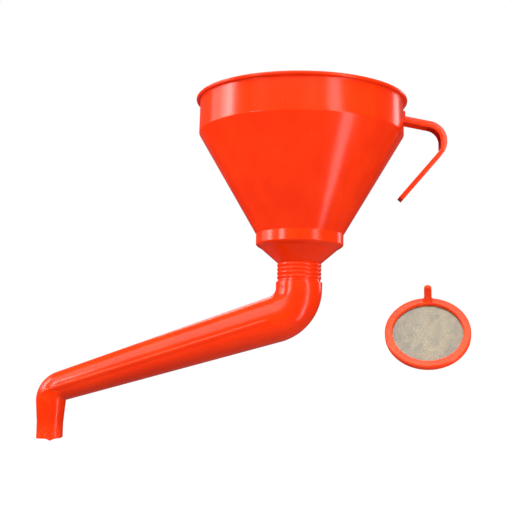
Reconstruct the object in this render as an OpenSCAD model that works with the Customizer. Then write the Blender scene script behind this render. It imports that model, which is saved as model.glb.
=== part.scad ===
// Funnel with a hook handle, an angled offset spout and a lift-out strainer.
// Z is up, +X points from the spout's tip to the bowl, and the origin is the middle of the outlet.

/* [Bowl] */
// Outer diameter over the rim's lip
rim_d = 160; // [130:1:200]
// Height of the upright band under the rim
band_h = 26; // [20:0.2:45]
// How much wider the band's radius is at its foot than under the lip
band_flare = 0.4; // [0:0.1:1.5]
// Height of the long cone
cone_h = 76; // [60:1:110]
// Outer diameter of the strainer collar
collar_d = 65.6; // [54:0.2:80]
// Height of the strainer collar
collar_h = 9.1; // [7:0.1:16]
// Height of the short cone under the collar
low_cone_h = 12.7; // [9:0.1:24]
// Wall thickness of the bowl and its neck
bowl_wall = 1.8; // [1.2:0.1:2.6]
// Radius of the round edge of the rim's turned-out lip
bead_r = 1.4; // [0.8:0.1:1.4]
// How far the lip stands out from the band's wall
bead_lip = 3; // [1.5:0.1:3]

/* [Neck] */
// Outer diameter of the neck between its rings
neck_d = 32; // [26:0.2:39]
// Height of the neck above the spout
neck_h = 14; // [10:0.2:24]
// Number of rings round the neck
ring_count = 4; // [2:1:6]
// Distance from ring to ring
ring_pitch = 3; // [2:0.1:3.4]
// Radius of each ring's round section
ring_r = 1; // [0.6:0.1:1.2]
// Length of the spigot that enters the spout
spigot_len = 11; // [6:0.5:12]
// Radial width of the seal's space between spigot and socket
seal_space = 1.7; // [1.4:0.1:2.2]
// Height of the seal ring
seal_h = 2.45; // [1.8:0.05:3.5]

/* [Spout] */
// Distance from the tip's axis to the bowl's axis
reach = 181.3; // [140:1:240]
// Rise of the long tube above the horizontal, in degrees
slope = 18.4; // [10:0.2:30]
// Outer diameter of the socket and elbow
socket_d = 34.6; // [32:0.2:43]
// Height of the straight socket above the elbow
socket_h = 4.5; // [3.5:0.1:12]
// Radius of the elbow's centre line
elbow_r = 24.5; // [22:0.5:36]
// Outer diameter of the bend above the tip
bend_d = 21.8; // [18:0.2:26]
// Gap between the bend's inner side and its centre
bend_gap = 0.3; // [0.2:0.1:6]
// Length of the upright tip under its bend
tip_len = 28; // [22:0.5:50]
// Outer diameter of the outlet
tip_d = 19.2; // [16:0.2:22]
// Length of the cylindrical end of the tip
tip_straight = 12; // [8:0.5:16]
// Wall thickness of the spout
spout_wall = 1.8; // [1.2:0.1:2.2]
// Radius of the side ribs' round section
rib_r = 1.1; // [0.7:0.1:1.6]
// Depth at which the side ribs' centres lie under the tube's surface
rib_sink = 0.4; // [0.2:0.1:0.6]

/* [Handle] */
// Width of the handle's strip
handle_w = 13; // [10:0.5:20]
// Thickness of the strip
handle_skin = 3.4; // [2:0.1:4]
// Depth of the strip and its stiffening ribs, along the arm and round the bend
handle_depth = 4.8; // [4.2:0.1:9]
// Thickness of each stiffening rib
handle_rib = 2; // [1.4:0.1:3]
// Distance of the handle's top below the rim where it leaves the band
handle_drop = 10.2; // [8:0.1:16]
// Distance along the top of the arm before it bends
arm_len = 21.3; // [14:0.1:32]
// Fall of the arm, in degrees below the horizontal
arm_fall = 10.3; // [4:0.1:24]
// Outer radius of the bend
hook_r = 15.4; // [12:0.1:24]
// Slant of the free leg, in degrees from the horizontal
leg_slant = 50; // [44:0.2:62]
// Length of the free leg
leg_len = 47; // [25:1:56]
// Width of the pad that joins the arm to the band
pad_w = 17; // [15:0.5:24]
// Thickness of that pad
pad_t = 1.4; // [0.8:0.1:2.5]
// Height of the pad above the top of the arm
pad_rise = 3.2; // [1:0.1:5]
// Depth of the pad under the ribs
pad_fall = 1; // [0.5:0.1:3]

/* [Strainer] */
// Radial clearance of the strainer in its collar
strainer_gap = 0.4; // [0.2:0.05:0.8]
// Radial wall of the collar
collar_wall = 1.6; // [1.2:0.1:2.4]
// Radial width of the ledge that the strainer rests on
seat_w = 4.7; // [2.5:0.1:5]
// Height of the strainer's ring
frame_h = 5; // [4:0.1:7]
// Radial width of the strainer's ring
frame_w = 5.4; // [3.5:0.1:6.5]
// Height of the gauze above the foot of the ring
gauze_z = 1.3; // [0.8:0.1:2.5]
// Thickness of the woven gauze
gauze_t = 0.5; // [0.4:0.05:0.8]
// Depth to which the gauze is moulded into the ring
gauze_hold = 0.9; // [0.6:0.1:1.5]
// Height of the lifting tab above the ring
tab_h = 16.4; // [12:0.1:24]
// Width of the lifting tab
tab_w = 5.4; // [4:0.1:8]
// Thickness of the lifting tab
tab_t = 2.4; // [1.8:0.1:3.4]
// Distance of the strainer, laid out, from the bowl's axis
laid_x = 92.4; // [80:0.2:140]
// Distance of the laid-out strainer in front of the bowl's axis
laid_y = 24; // [0:0.2:80]
// Height of the laid-out strainer's middle above the outlet
laid_z = 80.8; // [40:0.2:110]
// Tilt of the laid-out strainer from level, in degrees
laid_tilt = 57.8; // [0:0.2:90]
// Turn of the laid-out strainer about the upright, in degrees
laid_turn = -9.4; // [-45:0.2:45]

/* [Hidden] */
$fn = 96;
eps = 0.01;
// A straight stretch is this much thinner than the bend that it runs into, and runs this far in.
nest = 0.1;
nest_len = 0.6;
// Running clearance of the seal ring against the spigot and the socket
seal_gap = 0.05;
// Height of the gap between the neck's shoulder and the spout
shoulder_gap = 0.05;
orange = "orangered";

// Spout: the centre line runs up the tip, round the bend, along the tube and round the elbow.
turn = 90 - slope;
socket_r = socket_d / 2;
bend_pipe_r = bend_d / 2;
tip_r = tip_d / 2;
bend_r = bend_pipe_r + bend_gap;
tube_x = bend_r * (1 - cos(turn));
tube_z = tip_len + bend_r * sin(turn);
tube_len = (reach - (bend_r + elbow_r) * (1 - cos(turn))) / cos(slope);
elbow_z = tube_z + tube_len * sin(slope) + elbow_r * sin(turn);
socket_top = elbow_z + socket_h;

// Neck: the spigot and the seal ring share the socket's bore.
socket_bore_r = socket_r - spout_wall;
seal_bite = 0.6;
seal_r = socket_bore_r + seal_bite;
spigot_r = seal_r - seal_space;
neck_r = neck_d / 2;
neck_z = socket_top + shoulder_gap;
neck_top = neck_z + neck_h;
ring_margin = 0.6;
ring_z = neck_top - ring_r - ring_margin;
spigot_taper = 1;

// Bowl: one height and radius for each edge of its outline.
collar_r = collar_d / 2;
seat_r = collar_r - collar_wall;
collar_z = neck_top + low_cone_h;
collar_top = collar_z + collar_h;
band_z = collar_top + cone_h;
rim_z = band_z + band_h;
lip_half = bead_r - nest;
lip_in_r = rim_d / 2 - bead_r;
band_top_r = rim_d / 2 - bead_lip;
band_foot_r = band_top_r + band_flare;
cone_run = (band_foot_r - collar_r) / cone_h;
cone_wall = bowl_wall * sqrt(1 + cone_run * cone_run);
seat_top = band_z - (band_foot_r - cone_wall - seat_r) / cone_run;
// The collar's underside is a short bevel and a shallow step before the short cone.
bevel = 1.2;
step_w = 3;
step_rise = 1.8;
low_top_r = collar_r - bevel - step_w;
low_top_z = collar_z - step_rise;
low_run = (low_top_r - neck_r) / (low_top_z - neck_top);
low_wall = bowl_wall * sqrt(1 + low_run * low_run);
neck_bore_r = neck_r - bowl_wall;
spigot_bore_r = spigot_r - bowl_wall;
// The passage's step lies above the shoulder under a wide neck, and below it over a wide spigot.
shoulder_z = neck_z + (spigot_r > neck_r ? 0 : bowl_wall);
seat_rise = 1.4;
seat_z = collar_z + seat_rise;
seat_in_r = seat_r - seat_w;
low_in_z = low_top_z - (low_top_r - low_wall - seat_in_r) / low_run;
neck_in_z = low_top_z - (low_top_r - low_wall - neck_bore_r) / low_run;

// Handle: measured from the bowl's axis, with a straight arm, an outer arc and a straight leg.
arm_z = rim_z - handle_drop;
arm_start = [band_foot_r - bowl_wall / 2, arm_z];
arm_dir = [cos(arm_fall), -sin(arm_fall)];
arm_out = [sin(arm_fall), cos(arm_fall)];
leg_out = [sin(leg_slant), -cos(leg_slant)];
leg_dir = [-cos(leg_slant), -sin(leg_slant)];
arm_end = arm_start + arm_dir * arm_len;
hook_c = arm_end - arm_out * hook_r;
hook_end = hook_c + leg_out * hook_r;
arm_angle = 90 - arm_fall;
leg_angle = leg_slant - 90;
// The stiffening ribs follow the arm and the outer arc, and then drop straight down and run out.
strip_in_r = hook_r - handle_skin;
rib_in_r = hook_r - handle_depth;
rib_edge_x = hook_c.x + rib_in_r;
rib_corner = hook_c + leg_out * (rib_in_r / leg_out.x);
rib_run = (strip_in_r * leg_out.x - rib_in_r) / cos(leg_slant);

// Strainer
frame_r = seat_r - strainer_gap;
frame_in_r = frame_r - frame_w;
gauze_r = frame_in_r + gauze_hold;
tab_y = frame_r - frame_w / 2;

// ---- Bowl ----

module at_bowl_axis() {
    translate([reach, 0, 0]) children();
}

// Outer edge of the bowl's wall, from the spigot's mouth up to the rim.
function bowl_outside() = [
    [spigot_r - spigot_taper, neck_z - spigot_len],
    [spigot_r, neck_z - spigot_len / 2],
    [spigot_r, neck_z],
    [neck_r, neck_z],
    [neck_r, neck_top],
    [low_top_r, low_top_z],
    [collar_r - bevel, collar_z],
    [collar_r, collar_z + bevel],
    [collar_r, collar_top],
    [band_foot_r, band_z],
    [band_top_r, rim_z - lip_half],
    [lip_in_r, rim_z - lip_half]
];

// Inner edge of the bowl's wall, from the rim down to the spigot's mouth.
function bowl_inside() = [
    [lip_in_r, rim_z + lip_half],
    [band_top_r - bowl_wall, rim_z + lip_half],
    [band_foot_r - cone_wall, band_z],
    [seat_r, seat_top],
    [seat_r, seat_z],
    [seat_in_r, seat_z],
    [seat_in_r, low_in_z],
    [neck_bore_r, neck_in_z],
    [neck_bore_r, shoulder_z],
    [spigot_bore_r, shoulder_z - bowl_wall],
    [spigot_bore_r - spigot_taper, neck_z - spigot_len]
];

module ring(radius, height, section_r) {
    translate([0, 0, height]) rotate_extrude() translate([radius, 0]) circle(r = section_r, $fn = 24);
}

module bowl() {
    color(orange) at_bowl_axis() {
        rotate_extrude() polygon(concat(bowl_outside(), bowl_inside()));
        // Round edge of the rim's lip
        ring(lip_in_r, rim_z, bead_r);
        // Rings round the neck
        for (i = [0 : ring_count - 1]) {
            ring(neck_r - ring_r / 2, ring_z - i * ring_pitch, ring_r);
        }
    }
}

// The band's own outside up to the lip, grown by a thickness, which the handle's pad wraps.
module band_solid(grow) {
    translate([0, 0, band_z]) {
        cylinder(h = band_h - lip_half, r1 = band_foot_r + grow, r2 = band_top_r + grow, $fn = 180);
    }
}

// ---- Handle ----

// The sector between the arm's end and the leg's start.
module hook_sector() {
    far = hook_r * 4;
    middle = (arm_angle + leg_angle) / 2;
    polygon([
        hook_c,
        hook_c + far * [cos(arm_angle), sin(arm_angle)],
        hook_c + far * [cos(middle), sin(middle)],
        hook_c + far * [cos(leg_angle), sin(leg_angle)]
    ]);
}

// A straight bar from one point to the hook's bend, with its outer edge along the line between them.
module bar_outline(away, at_bend, outward, depth) {
    end = at_bend + (at_bend - away) / norm(at_bend - away) * nest_len;
    top = outward * nest;
    foot = outward * (depth - nest);
    polygon([away - top, end - top, end - foot, away - foot]);
}

// The curved part of the handle, from the outer arc in to an inner radius.
module hook_outline(inner_r) {
    intersection() {
        difference() {
            translate(hook_c) circle(r = hook_r, $fn = 120);
            translate(hook_c) circle(r = inner_r, $fn = 120);
        }
        hook_sector();
    }
}

module strip_outline() {
    leg_end = hook_end + leg_dir * leg_len;
    bar_outline(arm_start, arm_end, arm_out, handle_skin);
    hook_outline(strip_in_r);
    bar_outline(leg_end, hook_end, leg_out, handle_skin);
    translate(leg_end - leg_out * handle_skin / 2) circle(r = handle_skin / 2, $fn = 32);
}

module rib_outline() {
    back = leg_dir * nest_len;
    bar_outline(arm_start, arm_end, arm_out, handle_depth);
    difference() {
        hook_outline(rib_in_r);
        translate([rib_edge_x - hook_r, hook_c.y - 2 * hook_r]) square([hook_r, 2 * hook_r]);
    }
    // Ribs too deep to run out within the bend end straight on the leg.
    if (rib_run > nest_len) polygon([
        hook_end - leg_out * nest - back,
        hook_end - leg_out * nest + leg_dir * rib_run,
        hook_end - leg_out * handle_skin + leg_dir * rib_run,
        rib_corner,
        rib_corner + [nest_len, nest_len]
    ]);
}

module upright(width) {
    rotate([90, 0, 0]) linear_extrude(width, center = true) children();
}

module handle() {
    rib_y = (handle_w - handle_rib) / 2;
    pad_top = arm_z + pad_rise;
    pad_foot = arm_z - handle_depth - pad_fall;
    color(orange) at_bowl_axis() difference() {
        union() {
            upright(handle_w) strip_outline();
            for (side = [-1, 1]) {
                translate([0, side * rib_y, 0]) upright(handle_rib) rib_outline();
            }
            intersection() {
                band_solid(pad_t);
                translate([band_foot_r / 2, -pad_w / 2, pad_foot]) {
                    cube([band_foot_r, pad_w, pad_top - pad_foot]);
                }
            }
        }
        band_solid(0);
    }
}

// ---- Seal ----

module seal_ring() {
    floor_z = socket_top - seal_h;
    color("dimgray") at_bowl_axis() translate([0, 0, floor_z]) difference() {
        cylinder(h = seal_h, r = seal_r - seal_gap);
        translate([0, 0, -eps]) cylinder(h = seal_h + 2 * eps, r = spigot_r + seal_gap);
    }
}

// ---- Spout ----

// A bend in the XZ plane from one angle round to another, about a centre.
module pipe_bend(centre, path_r, pipe_r, from, sweep) {
    translate([centre.x, 0, centre.y]) rotate([90, 0, 0]) rotate([0, 0, from]) {
        rotate_extrude(angle = sweep, $fn = 120) translate([path_r, 0]) circle(r = pipe_r);
    }
}

// The spout as a solid rod, thinner by an inset, so that two of them make its wall.
module spout_rod(inset, past) {
    tip = tip_r - inset;
    bend = bend_pipe_r - inset;
    elbow = socket_r - inset;
    rotate_extrude() polygon([
        [0, -past],
        [tip, -past],
        [tip, tip_straight],
        [bend - nest, tip_len],
        [bend - nest, tip_len + nest_len],
        [0, tip_len + nest_len]
    ]);
    pipe_bend([bend_r, tip_len], bend_r, bend, slope + 90, turn);
    translate([tube_x, 0, tube_z]) rotate([0, turn, 0]) translate([0, 0, -nest_len]) {
        cylinder(h = tube_len + 2 * nest_len, r1 = bend - nest, r2 = elbow - nest);
    }
    pipe_bend([reach - elbow_r, elbow_z], elbow_r, elbow, -turn, turn);
    translate([reach, 0, elbow_z - nest_len]) {
        cylinder(h = socket_h + nest_len + past, r = elbow - nest);
    }
}

// The rib along one side of the tapered tip, the bend and the tube. The outlet's end stays round.
module side_rib() {
    rib_start = 6;
    tip_y = tip_r - rib_sink;
    bend_y = bend_pipe_r - rib_sink;
    socket_y = socket_r - rib_sink;
    rise = tip_len - tip_straight;
    lean = atan((bend_y - tip_y) / rise);
    spread = atan((socket_y - bend_y) / tube_len);
    bar_r = rib_r - 2 * nest;
    translate([0, tip_y, tip_straight]) rotate([-lean, 0, 0]) {
        cylinder(h = rise / cos(lean) + nest_len, r = bar_r, $fn = 24);
    }
    translate([0, bend_y, 0]) pipe_bend([bend_r, tip_len], bend_r, rib_r, slope + 90, turn);
    translate([tube_x, bend_y, tube_z]) rotate([0, turn, 0]) rotate([-spread, 0, 0]) {
        translate([0, 0, -nest_len]) {
            cylinder(h = (tube_len - rib_start) / cos(spread) + nest_len, r = bar_r, $fn = 24);
        }
    }
}

module offset_spout() {
    past = 1;
    color(orange) difference() {
        union() {
            spout_rod(0, 0);
            for (side = [0, 1]) mirror([0, side, 0]) side_rib();
        }
        spout_rod(spout_wall, past);
        // Recess for the seal ring
        translate([reach, 0, socket_top - seal_h - shoulder_gap]) cylinder(h = seal_h + past, r = seal_r);
    }
}

// ---- Strainer ----

// The strainer lies out beside the funnel, tilted as if on a sloping surface.
module laid_out() {
    translate([reach + laid_x, -laid_y, laid_z]) rotate([laid_tilt, 0, laid_turn]) {
        translate([0, 0, -frame_h / 2]) children();
    }
}

module strainer_frame() {
    edge = 0.8;
    color(orange) laid_out() difference() {
        union() {
            rotate_extrude() polygon([
                [frame_in_r, 0],
                [frame_r - edge, 0],
                [frame_r, edge],
                [frame_r, frame_h - edge],
                [frame_r - edge, frame_h],
                [frame_in_r, frame_h]
            ]);
            translate([0, tab_y, frame_h - eps]) upright(tab_t) {
                translate([-tab_w / 2, 0]) square([tab_w, tab_h + eps - tab_w / 2]);
                translate([0, tab_h + eps - tab_w / 2]) circle(r = tab_w / 2, $fn = 48);
            }
        }
        // Groove moulded round the edge of the gauze
        translate([0, 0, gauze_z]) cylinder(h = gauze_t, r = gauze_r);
    }
}

module strainer_gauze() {
    color("tan") laid_out() translate([0, 0, gauze_z]) cylinder(h = gauze_t, r = gauze_r);
}

bowl();
handle();
seal_ring();
offset_spout();
strainer_frame();
strainer_gauze();
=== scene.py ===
"""Looks of a filling funnel with an offset spout and a loose strainer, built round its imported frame.

Everything is in metres, with +Z up and +X from the spout's outlet towards the bowl. The origin is the
middle of the outlet.
"""
from __future__ import annotations

import logging
import math
from dataclasses import dataclass, field
from enum import Enum
from typing import Callable

import bmesh
import bpy
from mathutils import Matrix, Vector


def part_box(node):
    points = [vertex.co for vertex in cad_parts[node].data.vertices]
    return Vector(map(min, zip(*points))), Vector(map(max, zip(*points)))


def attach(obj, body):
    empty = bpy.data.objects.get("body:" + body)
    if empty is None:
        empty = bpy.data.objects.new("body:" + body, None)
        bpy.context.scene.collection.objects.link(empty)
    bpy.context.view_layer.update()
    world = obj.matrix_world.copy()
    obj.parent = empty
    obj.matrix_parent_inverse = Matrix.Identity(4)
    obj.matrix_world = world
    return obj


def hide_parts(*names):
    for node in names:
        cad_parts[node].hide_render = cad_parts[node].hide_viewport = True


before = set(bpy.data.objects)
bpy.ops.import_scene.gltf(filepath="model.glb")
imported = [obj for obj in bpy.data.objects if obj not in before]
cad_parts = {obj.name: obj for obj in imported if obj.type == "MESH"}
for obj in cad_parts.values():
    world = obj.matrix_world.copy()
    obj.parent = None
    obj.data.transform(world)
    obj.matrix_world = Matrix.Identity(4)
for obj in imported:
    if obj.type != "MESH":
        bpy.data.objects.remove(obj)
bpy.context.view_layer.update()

log = logging.getLogger("funnel")
MM = 0.001
# The spin operator turns the opposite way to a right-handed turn about its axis.
SPIN_SIGN = -1.0
# Places nearer to each other than this count as one.
NEAR = 0.01 * MM
# Ratios nearer to 1 than this, and lengths nearer to 0, count as exact.
TINY = 1e-9

Point = tuple[float, float, float]
FlatPoint = tuple[float, float]


# ---- Modelling by hand ----


class Bench:
    """The few hand moves that every piece is modelled with."""

    @staticmethod
    def clear() -> None:
        """Deselects everything, so that an operator acts on the new primitive alone."""
        if bpy.context.object and bpy.context.object.mode != "OBJECT":
            bpy.ops.object.mode_set(mode="OBJECT")
        bpy.ops.object.select_all(action="DESELECT")

    @staticmethod
    def pick(*pieces: bpy.types.Object) -> None:
        """Selects some pieces and nothing else, and makes the first of them active.

        Args:
            *pieces: The pieces.
        """
        Bench.clear()
        for piece in pieces:
            piece.select_set(True)
        bpy.context.view_layer.objects.active = pieces[0]

    @staticmethod
    def lay(piece: bpy.types.Object, turn: Point, place: Vector) -> None:
        """Turns and moves a piece, and settles both into its mesh.

        Args:
            piece: The piece, modelled upright at the origin.
            turn: Its turn about X, Y and Z in degrees.
            place: Where its origin goes.
        """
        Bench.pick(piece)
        piece.rotation_euler = tuple(math.radians(angle) for angle in turn)
        piece.location = place
        bpy.ops.object.transform_apply(location=True, rotation=True, scale=True)

    @staticmethod
    def name(piece_name: str, scale: Point = (1, 1, 1)) -> bpy.types.Object:
        """Names the new primitive, sizes it and settles its place into its mesh.

        Args:
            piece_name: Name of the finished piece.
            scale: Size along each of the primitive's own axes.

        Returns:
            The active object, at the origin, unturned and unscaled.
        """
        piece = bpy.context.object
        piece.scale = scale
        piece.name = piece_name
        piece.data.name = piece_name
        bpy.ops.object.transform_apply(location=True, rotation=True, scale=True)
        return piece

    @staticmethod
    def edit(mode: str = "VERT") -> None:
        """Enters edit mode with all of the active piece selected.

        Args:
            mode: What is picked: VERT, EDGE or FACE.
        """
        bpy.ops.object.mode_set(mode="EDIT")
        bpy.ops.mesh.select_mode(type=mode)
        bpy.ops.mesh.select_all(action="SELECT")

    @staticmethod
    def pick_faces(piece: bpy.types.Object, test: Callable[[bmesh.types.BMFace], bool]) -> None:
        """Selects the faces that pass a test, in edit mode.

        Args:
            piece: The piece in edit mode.
            test: Says whether a face is wanted.
        """
        bpy.ops.mesh.select_mode(type="FACE")
        bpy.ops.mesh.select_all(action="DESELECT")
        mesh = bmesh.from_edit_mesh(piece.data)
        mesh.normal_update()
        for face in mesh.faces:
            face.select_set(test(face))
        bmesh.update_edit_mesh(piece.data)

    @staticmethod
    def pick_edges(piece: bpy.types.Object, test: Callable[[bmesh.types.BMEdge], bool]) -> None:
        """Selects the edges that pass a test, in edit mode.

        Args:
            piece: The piece in edit mode.
            test: Says whether an edge is wanted.
        """
        bpy.ops.mesh.select_mode(type="EDGE")
        bpy.ops.mesh.select_all(action="DESELECT")
        mesh = bmesh.from_edit_mesh(piece.data)
        for edge in mesh.edges:
            edge.select_set(test(edge))
        bmesh.update_edit_mesh(piece.data)

    @staticmethod
    def apply(piece: bpy.types.Object) -> None:
        """Applies every modifier of a piece, from the first to the last.

        Args:
            piece: The piece.
        """
        Bench.pick(piece)
        for modifier in list(piece.modifiers):
            bpy.ops.object.modifier_apply(modifier=modifier.name)

    @staticmethod
    def round_edges(piece: bpy.types.Object, width: float, above: float = 35.0, segments: int = 3) -> None:
        """Breaks the sharp edges of a moulding.

        Args:
            piece: The piece.
            width: How far each edge is cut back.
            above: Edges that turn more than this many degrees are rounded.
            segments: Steps across each rounded edge.
        """
        bevel = piece.modifiers.new("edges", "BEVEL")
        bevel.width = width
        bevel.segments = segments
        bevel.limit_method = "ANGLE"
        bevel.angle_limit = math.radians(above)
        bevel.use_clamp_overlap = True
        Bench.apply(piece)

    @staticmethod
    def close(piece: bpy.types.Object, merge: float = 0.001 * MM) -> None:
        """Merges doubles and turns every face outwards.

        Args:
            piece: The piece.
            merge: Points nearer than this become one.
        """
        Bench.pick(piece)
        Bench.edit()
        bpy.ops.mesh.remove_doubles(threshold=merge)
        bpy.ops.mesh.dissolve_degenerate(threshold=merge)
        bpy.ops.mesh.select_all(action="SELECT")
        bpy.ops.mesh.normals_make_consistent(inside=False)
        bpy.ops.object.mode_set(mode="OBJECT")

    @staticmethod
    def smooth(piece: bpy.types.Object, angle: float = 38.0) -> None:
        """Shades a piece smooth, apart from edges sharper than an angle in degrees."""
        Bench.pick(piece)
        bpy.ops.object.shade_smooth_by_angle(angle=math.radians(angle))

    @staticmethod
    def join(pieces: list[bpy.types.Object]) -> bpy.types.Object:
        """Joins stretches that are one moulding.

        Args:
            pieces: The stretches, of which the first keeps its name.

        Returns:
            The one piece.
        """
        Bench.pick(*pieces)
        bpy.ops.object.join()
        return pieces[0]


@dataclass(frozen=True)
class Corner:
    """A corner of a turned outline, with its radius, its height and how far it is rounded."""

    r: float
    z: float
    fillet: float = 0.0


def arc(centre: FlatPoint, radius: float, start: float, end: float, steps: int) -> list[Corner]:
    """Points of an arc, from one angle to another.

    Args:
        centre: Radius and height of the arc's middle.
        radius: The arc's own radius.
        start: First angle in degrees, from outwards and turning up.
        end: Last angle in degrees.
        steps: Number of chords.

    Returns:
        The points as sharp corners.
    """
    turns = [math.radians(start + (end - start) * i / steps) for i in range(steps + 1)]
    return [Corner(centre[0] + radius * math.cos(t), centre[1] + radius * math.sin(t)) for t in turns]


def rounded(corners: list[Corner], steps: int = 5, hold: float = 0.5 * MM) -> list[FlatPoint]:
    """Rounds the corners of a closed outline.

    Args:
        corners: The outline's corners in order.
        steps: Chords in each rounded corner.
        hold: Distance past a rounded corner of the point that keeps a long wall flat in its shading.

    Returns:
        The outline as radius and height pairs.
    """
    outline: list[FlatPoint] = []
    side_share, long_side = 0.45, 8
    for i, corner in enumerate(corners):
        here = Vector((corner.r, corner.z))
        if not corner.fillet:
            outline.append((here.x, here.y))
            continue
        before = Vector((corners[i - 1].r, corners[i - 1].z)) - here
        after = Vector((corners[(i + 1) % len(corners)].r, corners[(i + 1) % len(corners)].z)) - here
        half = before.angle(after) / 2
        reach = min(corner.fillet / math.tan(half), side_share * before.length, side_share * after.length)
        radius = reach * math.tan(half)
        u, v = before.normalized(), after.normalized()
        middle = here + (u + v).normalized() * (radius / math.sin(half))
        first, last = here + u * reach - middle, here + v * reach - middle
        if before.length > long_side * (reach + hold):
            outline.append(tuple(here + u * (reach + hold)))
        sweep = first.angle_signed(last) if first.length > TINY else 0.0
        for k in range(steps + 1):
            turn = Matrix.Rotation(-sweep * k / steps, 2)
            outline.append(tuple(middle + turn @ first))
        if after.length > long_side * (reach + hold):
            outline.append(tuple(here + v * (reach + hold)))
    return outline


def turned(name: str, axis: Vector, outline: list[FlatPoint], segments: int) -> bpy.types.Object:
    """Turns a closed outline about an upright axis: one ring is extruded and scaled from point to point.

    Args:
        name: Name of the piece.
        axis: A point on the axis, at the outline's height 0.
        outline: Radius and height of each point, once round the wall.
        segments: Number of corners of each ring.

    Returns:
        The closed piece.
    """
    r, z = outline[0]
    Bench.clear()
    bpy.ops.mesh.primitive_circle_add(
        vertices=segments, radius=r, fill_type="NOTHING", location=axis + Vector((0, 0, z)))
    piece = Bench.name(name)
    Bench.edit("VERT")
    for next_r, next_z in outline[1:] + outline[:1]:
        bpy.ops.mesh.extrude_region_move(TRANSFORM_OT_translate={"value": (0, 0, next_z - z)})
        scale = next_r / r
        bpy.ops.transform.resize(value=(scale, scale, 1), center_override=axis + Vector((0, 0, next_z)))
        r, z = next_r, next_z
    bpy.ops.object.mode_set(mode="OBJECT")
    Bench.close(piece)
    Bench.smooth(piece)
    return piece


# ---- Finishes ----


class Value:
    """A number in a shader, whose sums add Math nodes."""

    def __init__(self, graph: "Graph", socket: bpy.types.NodeSocket) -> None:
        """Wraps a socket of a graph."""
        self.graph = graph
        self.socket = socket

    def _math(self, operation: str, first: "Value | float", second: "Value | float" = 0.0) -> "Value":
        """Adds one Math node and returns what it gives."""
        return self.graph.node("ShaderNodeMath", {"operation": operation}, {0: first, 1: second})

    def __add__(self, other: "Value | float") -> "Value":
        """Sum."""
        return self._math("ADD", self, other)

    __radd__ = __add__

    def __sub__(self, other: "Value | float") -> "Value":
        """Difference."""
        return self._math("SUBTRACT", self, other)

    def __rsub__(self, other: float) -> "Value":
        """Difference from a number."""
        return self._math("SUBTRACT", other, self)

    def __mul__(self, other: "Value | float") -> "Value":
        """Product."""
        return self._math("MULTIPLY", self, other)

    __rmul__ = __mul__

    def above(self, low: float, high: float) -> "Value":
        """Smooth step from 0 at a low value to 1 at a high one.

        Args:
            low: Value that gives 0.
            high: Value that gives 1.

        Returns:
            The step.
        """
        return self.graph.node("ShaderNodeMapRange", {"interpolation_type": "SMOOTHSTEP"},
                               {"Value": self, "From Min": low, "From Max": high})


class Graph:
    """A material's nodes, with its shader ready to be fed."""

    def __init__(self, name: str) -> None:
        """Starts a material with one principled shader.

        Args:
            name: The finish's name.
        """
        self.material = bpy.data.materials.new(name)
        self.material.use_nodes = True
        self.tree = self.material.node_tree
        self.shader = self.tree.nodes["Principled BSDF"]
        self.place = self.node("ShaderNodeTexCoord", {}, {}, "Object")

    def node(self, kind: str, settings: dict[str, object], inputs: dict[object, object],
             output: str | int = 0) -> Value:
        """Adds a node.

        Args:
            kind: The node's type.
            settings: Its own settings, which come first.
            inputs: Its sockets' values or links, by name or number.
            output: Name or number of the socket that is used.

        Returns:
            The wanted output.
        """
        new = self.tree.nodes.new(kind)
        for key, setting in settings.items():
            setattr(new, key, setting)
        for key, value in inputs.items():
            self.feed(new.inputs[key], value)
        return Value(self, new.outputs[output])

    def feed(self, socket: bpy.types.NodeSocket, value: object) -> None:
        """Links or sets a socket.

        Args:
            socket: The input.
            value: What another node gives, or a constant.
        """
        if isinstance(value, Value):
            self.tree.links.new(value.socket, socket)
        else:
            socket.default_value = value

    def noise(self, size: float, detail: float = 3.0, stretch: Point = (1, 1, 1), turn: Point = (0, 0, 0),
              rough: float = 0.55) -> Value:
        """Soft random patches.

        Args:
            size: How large a patch is, in metres.
            detail: How many finer layers it has.
            stretch: Scale of the patches along each axis; a small number draws them out.
            turn: How the axes are turned.
            rough: Weight of the finer layers.

        Returns:
            A value about 0.5.
        """
        place = self.node("ShaderNodeMapping", {"vector_type": "TEXTURE"},
                          {"Vector": self.place, "Rotation": turn, "Scale": tuple(1 / s for s in stretch)})
        return self.node("ShaderNodeTexNoise", {},
                         {"Vector": place, "Scale": 1 / size, "Detail": detail, "Roughness": rough}, "Fac")

    def height(self) -> Value:
        """Height above the outlet."""
        return self.node("ShaderNodeSeparateXYZ", {}, {"Vector": self.place}, "Z")

    def blend(self, share: Value | float, first: object, second: object) -> Value:
        """Mixes two colours.

        Args:
            share: Share of the second.
            first: Colour at 0.
            second: Colour at 1.

        Returns:
            The mixed colour.
        """
        new = self.tree.nodes.new("ShaderNodeMix")
        new.data_type = "RGBA"
        for name, value in (("Factor_Float", share), ("A_Color", first), ("B_Color", second)):
            self.feed(next(s for s in new.inputs if s.identifier == name), value)
        return Value(self, next(s for s in new.outputs if s.identifier == "Result_Color"))

    def dent(self, height: Value, depth: float) -> None:
        """Feeds a bump to the shader's normal.

        Args:
            height: The relief, from 0 to 1.
            depth: How deep it is, in metres.
        """
        bump = self.node("ShaderNodeBump", {}, {"Height": height, "Distance": depth, "Strength": 1.0})
        self.feed(self.shader.inputs["Normal"], bump)

    def finish(self, **sockets: object) -> bpy.types.Material:
        """Sets the shader's sockets.

        Args:
            **sockets: Values by the socket's name with underscores.

        Returns:
            The material.
        """
        for key, value in sockets.items():
            self.feed(self.shader.inputs[key.replace("_", " ")], value)
        return self.material


Colour = tuple[float, float, float, float]


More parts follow.
